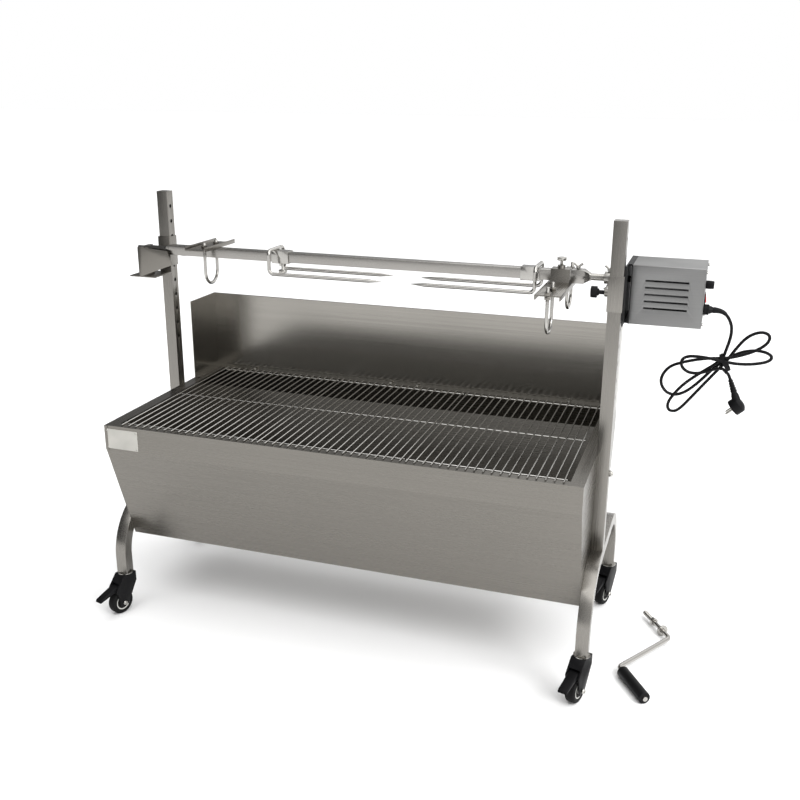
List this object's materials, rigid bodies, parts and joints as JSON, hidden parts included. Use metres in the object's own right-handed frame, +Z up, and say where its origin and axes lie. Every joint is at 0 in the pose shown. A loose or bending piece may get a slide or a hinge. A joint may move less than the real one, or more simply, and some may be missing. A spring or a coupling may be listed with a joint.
{
  "type": "rotisserie spit roaster",
  "caption": "Charcoal spit roaster: an open steel trough with grates and a wind guard on arched caster legs, and a motor-driven spit with forks and back clamps between height-adjustable posts.",
  "frame": {"origin": "on the floor, under the middle of the whole machine", "axes": "+X along the spit towards the motor, +Y to the wind guard, +Z up"},
  "size_m": [1.644, 0.6298, 1.092],
  "materials": {
    "sheet": "brushed stainless sheet",
    "tube": "brushed stainless tube",
    "fastener": "bright zinc",
    "grate": "drawn wire",
    "bracket": "brushed stainless plate",
    "motor_case": "brushed stainless sheet",
    "motor_back": "dark satin paint",
    "gear_case": "plain casting",
    "bar": "bright stainless bar",
    "rod": "bright stainless rod",
    "black_plastic": "moulded black plastic",
    "switch_red": "moulded red plastic",
    "caster_body": "moulded black nylon",
    "tyre": "dark rubber tyre on a pale hub",
    "cord": "black flex sheath"
  },
  "bodies": {
    "frame": {"firebox_front": "sheet", "firebox_back": "sheet", "firebox_floor": "sheet", "firebox_left_end": "sheet", "firebox_right_end": "sheet", "wind_guard_back": "sheet", "wind_guard_wings": "sheet", "left_leg_arch": "tube", "right_leg_arch": "tube", "left_post": "tube", "right_post": "tube", "frame_fasteners": "fastener"},
    "left_grate": {"grate_1": "grate"},
    "middle_grate": {"grate_2": "grate"},
    "right_grate": {"grate_3": "grate"},
    "left_carriage": {"left_sleeve": "tube", "left_cradle": "bracket"},
    "right_carriage": {"right_sleeve": "tube", "motor_bracket": "motor_back", "motor_base_plate": "motor_back", "motor_cover": "motor_case", "motor_end_panel": "motor_case", "gear_motor": "gear_case", "cable_gland": "black_plastic", "cord_drop": "cord", "cord_hank": "cord", "cord_tail": "cord", "plug": "cord"},
    "left_lock": {"left_lock_pin": "black_plastic"},
    "right_lock": {"right_lock_pin": "black_plastic"},
    "dial": {"speed_dial": "black_plastic"},
    "rocker": {"power_switch": "switch_red"},
    "spit": {"spit_bar": "bar", "spit_end_shafts": "bar", "drive_shaft": "bar", "spit_wing_screws": "fastener"},
    "left_fork": {"fork_left": "rod"},
    "left_fork_thumb": {"fork_left_screw": "fastener"},
    "right_fork": {"fork_right": "rod"},
    "right_fork_thumb": {"fork_right_screw": "fastener"},
    "left_clamp": {"clamp_left_plate": "bracket"},
    "left_ubolt": {"ubolt_left": "rod"},
    "right_clamp": {"clamp_right_plate": "bracket"},
    "right_clamp_thumb": {"clamp_right_screw": "fastener"},
    "front_ubolt": {"ubolt_right_front": "rod"},
    "back_ubolt": {"ubolt_right_back": "rod"},
    "crank": {"crank_rod": "rod"},
    "crank_handle": {"crank_grip": "black_plastic"},
    "front_left_swivel": {"caster_hood_front_left": "caster_body"},
    "front_left_roller": {"caster_wheel_front_left": "tyre"},
    "front_left_brake": {"caster_pedal_front_left": "caster_body"},
    "front_right_swivel": {"caster_hood_front_right": "caster_body"},
    "front_right_roller": {"caster_wheel_front_right": "tyre"},
    "front_right_brake": {"caster_pedal_front_right": "caster_body"},
    "rear_left_swivel": {"caster_hood_rear_left": "caster_body"},
    "rear_left_roller": {"caster_wheel_rear_left": "tyre"},
    "rear_left_brake": {"caster_pedal_rear_left": "caster_body"},
    "rear_right_swivel": {"caster_hood_rear_right": "caster_body"},
    "rear_right_roller": {"caster_wheel_rear_right": "tyre"},
    "rear_right_brake": {"caster_pedal_rear_right": "caster_body"}
  },
  "joints": [
    {"name": "left_grate_lift", "type": "slide", "parent": "frame", "child": "left_grate", "axis": [0, 0, 1], "range_m": [0, 0.25]},
    {"name": "middle_grate_lift", "type": "slide", "parent": "frame", "child": "middle_grate", "axis": [0, 0, 1], "range_m": [0, 0.25]},
    {"name": "right_grate_lift", "type": "slide", "parent": "frame", "child": "right_grate", "axis": [0, 0, 1], "range_m": [0, 0.25]},
    {"name": "motor_height", "type": "slide", "parent": "frame", "child": "right_carriage", "axis": [0, 0, 1], "range_m": [-0.2, 0.12]},
    {"name": "cradle_height", "type": "slide", "parent": "frame", "child": "left_carriage", "axis": [0, 0, 1], "range_m": [-0.2, 0.12]},
    {"name": "left_lock_press", "type": "slide", "parent": "left_carriage", "child": "left_lock", "axis": [-1, 0, 0], "range_m": [0, 0.012]},
    {"name": "right_lock_press", "type": "slide", "parent": "right_carriage", "child": "right_lock", "axis": [1, 0, 0], "range_m": [0, 0.012]},
    {"name": "dial_turn", "type": "hinge", "parent": "right_carriage", "child": "dial", "pos_m": [0.73465, 0.014, 0.95], "axis": [1, 0, 0], "range_deg": [0, 270]},
    {"name": "rocker_tilt", "type": "hinge", "parent": "right_carriage", "child": "rocker", "pos_m": [0.72765, 0.014, 0.919], "axis": [0, 1, 0], "range_deg": [0, 16]},
    {"name": "spit_turn", "type": "hinge", "parent": "right_carriage", "child": "spit", "pos_m": [-0.07365, 0.019, 0.95], "axis": [1, 0, 0], "continuous": true},
    {"name": "left_fork_slide", "type": "slide", "parent": "spit", "child": "left_fork", "axis": [1, 0, 0], "range_m": [-0.1, 0.07]},
    {"name": "right_fork_slide", "type": "slide", "parent": "spit", "child": "right_fork", "axis": [1, 0, 0], "range_m": [-0.07, 0.012]},
    {"name": "left_fork_thumb_turn", "type": "hinge", "parent": "left_fork", "child": "left_fork_thumb", "pos_m": [-0.30615, 0.019, 0.92], "axis": [0, 0, -1], "range_deg": [-360, 0]},
    {"name": "right_fork_thumb_turn", "type": "hinge", "parent": "right_fork", "child": "right_fork_thumb", "pos_m": [0.33385, 0.049, 0.95], "axis": [0, 1, 0], "range_deg": [-360, 0]},
    {"name": "left_clamp_slide", "type": "slide", "parent": "spit", "child": "left_clamp", "axis": [1, 0, 0], "range_m": [-0.07, 0.12]},
    {"name": "left_ubolt_lift", "type": "slide", "parent": "left_clamp", "child": "left_ubolt", "axis": [0, 0, 1], "range_m": [0, 0.05]},
    {"name": "right_clamp_slide", "type": "slide", "parent": "spit", "child": "right_clamp", "axis": [1, 0, 0], "range_m": [-0.015, 0]},
    {"name": "right_clamp_thumb_turn", "type": "hinge", "parent": "right_clamp", "child": "right_clamp_thumb", "pos_m": [0.40435, 0.019, 0.98], "axis": [0, 0, 1], "range_deg": [-360, 0]},
    {"name": "front_ubolt_lift", "type": "slide", "parent": "right_clamp", "child": "front_ubolt", "axis": [0, 0, 1], "range_m": [0, 0.05]},
    {"name": "back_ubolt_lift", "type": "slide", "parent": "right_clamp", "child": "back_ubolt", "axis": [0, 0, 1], "range_m": [0, 0.05]},
    {"name": "crank_lift", "type": "slide", "parent": "frame", "child": "crank", "axis": [0, 0, 1], "range_m": [0, 0.3]},
    {"name": "crank_handle_spin", "type": "hinge", "parent": "crank", "child": "crank_handle", "pos_m": [0.65988, -0.15754, 0.015], "axis": [0.5411, -0.8409, 0], "continuous": true},
    {"name": "front_left_swivel_turn", "type": "hinge", "parent": "frame", "child": "front_left_swivel", "pos_m": [-0.68865, -0.221, 0.11], "axis": [0, 0, 1], "continuous": true},
    {"name": "front_left_roll", "type": "hinge", "parent": "front_left_swivel", "child": "front_left_roller", "pos_m": [-0.69567, -0.24395, 0.033], "axis": [0.9563, -0.2924, 0], "continuous": true},
    {"name": "front_left_brake_press", "type": "hinge", "parent": "front_left_swivel", "child": "front_left_brake", "pos_m": [-0.69742, -0.24969, 0.078], "axis": [0.9563, -0.2924, 0], "range_deg": [0, 12]},
    {"name": "front_right_swivel_turn", "type": "hinge", "parent": "frame", "child": "front_right_swivel", "pos_m": [0.54135, -0.221, 0.11], "axis": [0, 0, 1], "continuous": true},
    {"name": "front_right_roll", "type": "hinge", "parent": "front_right_swivel", "child": "front_right_roller", "pos_m": [0.53433, -0.24395, 0.033], "axis": [0.9563, -0.2924, 0], "continuous": true},
    {"name": "front_right_brake_press", "type": "hinge", "parent": "front_right_swivel", "child": "front_right_brake", "pos_m": [0.53258, -0.24969, 0.078], "axis": [0.9563, -0.2924, 0], "range_deg": [0, 12]},
    {"name": "rear_left_swivel_turn", "type": "hinge", "parent": "frame", "child": "rear_left_swivel", "pos_m": [-0.68865, 0.259, 0.11], "axis": [0, 0, 1], "continuous": true},
    {"name": "rear_left_roll", "type": "hinge", "parent": "rear_left_swivel", "child": "rear_left_roller", "pos_m": [-0.69567, 0.23605, 0.033], "axis": [0.9563, -0.2924, 0], "continuous": true},
    {"name": "rear_left_brake_press", "type": "hinge", "parent": "rear_left_swivel", "child": "rear_left_brake", "pos_m": [-0.69742, 0.23031, 0.078], "axis": [0.9563, -0.2924, 0], "range_deg": [0, 12]},
    {"name": "rear_right_swivel_turn", "type": "hinge", "parent": "frame", "child": "rear_right_swivel", "pos_m": [0.54135, 0.259, 0.11], "axis": [0, 0, 1], "continuous": true},
    {"name": "rear_right_roll", "type": "hinge", "parent": "rear_right_swivel", "child": "rear_right_roller", "pos_m": [0.53433, 0.23605, 0.033], "axis": [0.9563, -0.2924, 0], "continuous": true},
    {"name": "rear_right_brake_press", "type": "hinge", "parent": "rear_right_swivel", "child": "rear_right_brake", "pos_m": [0.53258, 0.23031, 0.078], "axis": [0.9563, -0.2924, 0], "range_deg": [0, 12]}
  ],
  "couplings": [
    {"joint": "cradle_height", "follows": "motor_height", "ratio": 1}
  ]
}
